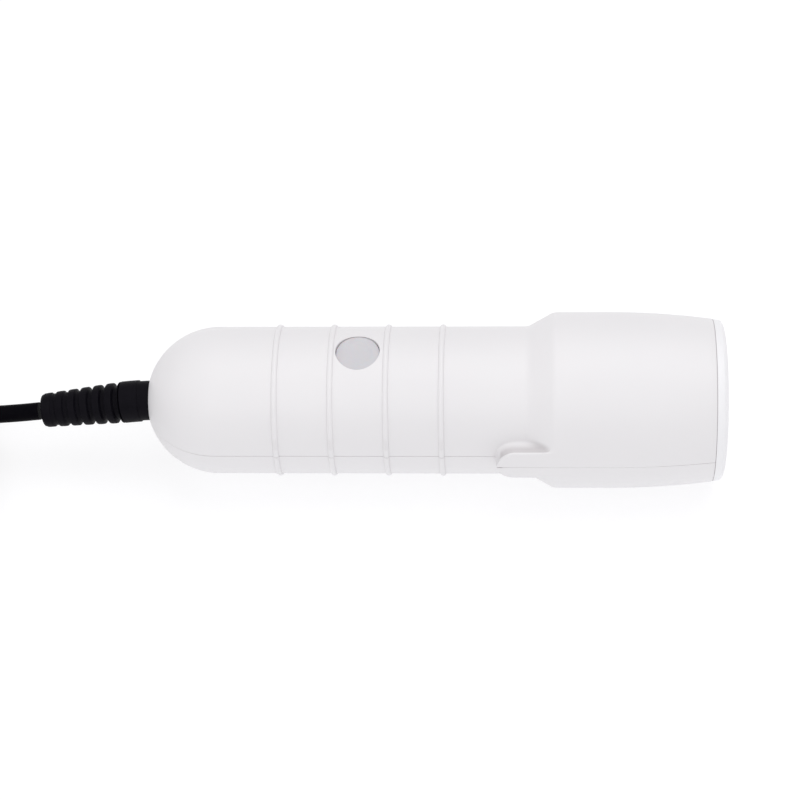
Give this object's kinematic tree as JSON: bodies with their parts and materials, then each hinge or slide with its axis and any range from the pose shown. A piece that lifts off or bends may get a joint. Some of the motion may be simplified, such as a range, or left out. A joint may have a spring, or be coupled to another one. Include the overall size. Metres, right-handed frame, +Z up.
{
  "type": "microchip scanner",
  "caption": "Handheld animal microchip scanner: round ribbed grip, larger antenna head, one push button, and a black lead with a strain relief, stored in a coil with a plug.",
  "frame": {"origin": "under the middle of the scanner body, level with the lowest line of its head, the lead left out", "axes": "+X along the body from the cable tail to the antenna head, +Z up through the scan button"},
  "size_m": [0.2835, 0.0746, 0.0488],
  "materials": {
    "white_shell": "fine satin moulding, white",
    "cap_plastic": "satin, a cooler and brighter white",
    "button_silicone": "translucent light grey, matt",
    "black_rubber": "matt black",
    "cord_jacket": "smooth black PVC",
    "tie_strap": "woven black strap",
    "seal_rubber": "matt black",
    "board_laminate": "green solder mask",
    "chip_black": "moulded black",
    "white_nylon": "natural nylon",
    "nickel_shell": "nickel plated steel",
    "screw_steel": "zinc plated",
    "enamelled_copper": "enamelled copper wire",
    "contact_gold": "gold plated",
    "led_green": "clear green",
    "led_red": "clear red",
    "wire_red": "PVC insulation",
    "wire_white": "PVC insulation",
    "wire_green": "PVC insulation",
    "wire_black": "PVC insulation"
  },
  "bodies": {
    "housing": {"antenna_bobbin": "white_nylon", "antenna_cap": "cap_plastic", "antenna_lead_left": "enamelled_copper", "antenna_lead_right": "enamelled_copper", "antenna_terminal": "white_nylon", "antenna_winding": "enamelled_copper", "board_screw_1": "screw_steel", "board_screw_2": "screw_steel", "board_screw_3": "screw_steel", "board_screw_4": "screw_steel", "bottom_shell": "white_shell", "buzzer": "chip_black", "cable_clamp": "white_shell", "cable_connector": "white_nylon", "cable_jacket": "cord_jacket", "cap_seal": "seal_rubber", "case_screw_1": "screw_steel", "case_screw_2": "screw_steel", "case_screw_3": "screw_steel", "clamp_screw_1": "screw_steel", "clamp_screw_2": "screw_steel", "clock_crystal": "nickel_shell", "cord": "cord_jacket", "cord_coil": "cord_jacket", "cord_tail": "cord_jacket", "cord_tie": "tie_strap", "green_led": "led_green", "main_board": "board_laminate", "microcontroller": "chip_black", "plug_body": "black_rubber", "plug_contact_1": "contact_gold", "plug_contact_2": "contact_gold", "plug_contact_3": "contact_gold", "plug_contact_4": "contact_gold", "plug_insert": "white_nylon", "plug_shell": "nickel_shell", "reader_chip": "chip_black", "red_led": "led_red", "storage_capacitor": "nickel_shell", "strain_relief": "black_rubber", "switch_body": "chip_black", "top_shell": "white_shell", "voltage_regulator": "chip_black", "wire_black": "wire_black", "wire_green": "wire_green", "wire_red": "wire_red", "wire_white": "wire_white"},
    "button": {"scan_button": "button_silicone", "switch_plunger": "white_nylon"}
  },
  "joints": [
    {"name": "button_press", "type": "slide", "parent": "housing", "child": "button", "axis": [0, 0, -1], "range_m": [0, 0.0008], "stiffness_N_per_m": 1000, "springref_m": -0.0005}
  ]
}
